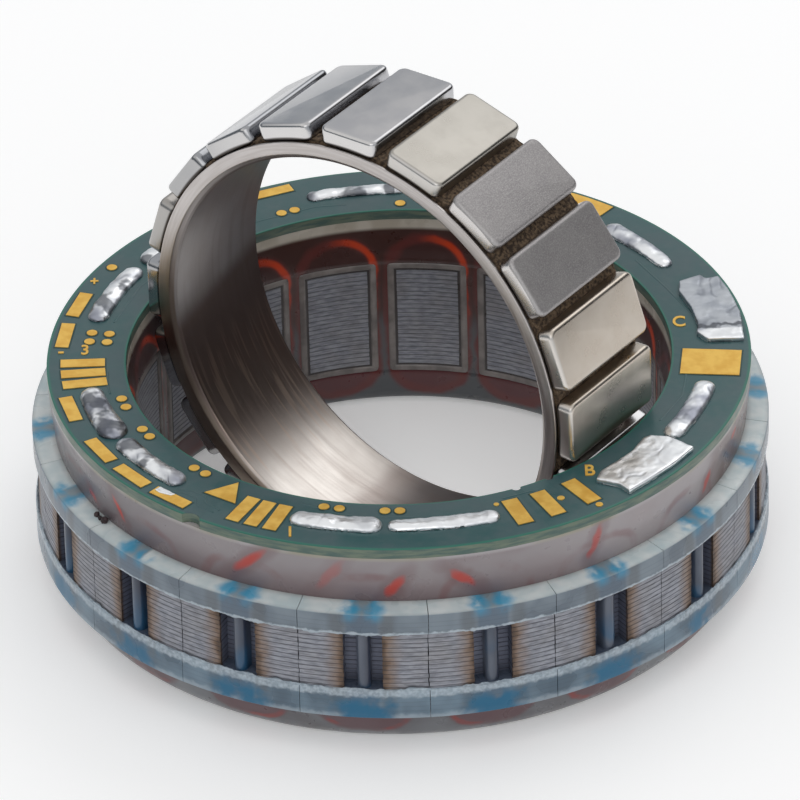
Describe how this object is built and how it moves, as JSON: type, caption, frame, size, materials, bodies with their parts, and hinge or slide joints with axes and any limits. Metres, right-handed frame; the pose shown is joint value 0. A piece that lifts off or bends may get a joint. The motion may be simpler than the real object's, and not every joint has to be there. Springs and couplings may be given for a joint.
{
  "type": "frameless motor",
  "caption": "Frameless motor kit: a potted segmented stator with a ring circuit board on top, and its loose surface-magnet rotor ring standing on edge in the bore.",
  "frame": {"origin": "stator axis at the plane that the potted end and the loose rotor stand on", "axes": "+Z along the stator axis, up from the potted end to the circuit board; -Y towards the picture's viewer, +X to the viewer's right"},
  "size_m": [0.05, 0.05, 0.0353],
  "materials": {
    "core_steel": "bare laminated edges",
    "insulator_plastic": "translucent milky moulding",
    "coil_wire": "enamelled copper wire",
    "cast_resin": "smooth cast, slightly translucent",
    "board_mask": "semi-gloss solder mask",
    "pad_gold": "flat gold plate",
    "solder": "bright uneven solder",
    "ring_steel": "turned",
    "magnet_plating": "bright nickel plate",
    "adhesive": "rough dark adhesive"
  },
  "bodies": {
    "root": {"circuit_board": "board_mask", "coils_phase_a": "coil_wire", "coils_phase_b": "coil_wire", "coils_phase_c": "coil_wire", "contact_pads": "pad_gold", "core_segment_01": "core_steel", "core_segment_02": "core_steel", "core_segment_03": "core_steel", "core_segment_04": "core_steel", "core_segment_05": "core_steel", "core_segment_06": "core_steel", "core_segment_07": "core_steel", "core_segment_08": "core_steel", "core_segment_09": "core_steel", "core_segment_10": "core_steel", "core_segment_11": "core_steel", "core_segment_12": "core_steel", "core_segment_13": "core_steel", "core_segment_14": "core_steel", "core_segment_15": "core_steel", "core_segment_16": "core_steel", "core_segment_17": "core_steel", "core_segment_18": "core_steel", "magnet_01": "magnet_plating", "magnet_02": "magnet_plating", "magnet_03": "magnet_plating", "magnet_04": "magnet_plating", "magnet_05": "magnet_plating", "magnet_06": "magnet_plating", "magnet_07": "magnet_plating", "magnet_08": "magnet_plating", "magnet_09": "magnet_plating", "magnet_10": "magnet_plating", "magnet_11": "magnet_plating", "magnet_12": "magnet_plating", "magnet_13": "magnet_plating", "magnet_14": "magnet_plating", "magnet_15": "magnet_plating", "magnet_16": "magnet_plating", "magnet_17": "magnet_plating", "magnet_18": "magnet_plating", "magnet_19": "magnet_plating", "magnet_20": "magnet_plating", "magnet_adhesive": "adhesive", "potting_resin": "cast_resin", "rotor_ring": "ring_steel", "solder_joints": "solder", "tooth_insulators": "insulator_plastic"}
  },
  "joints": []
}
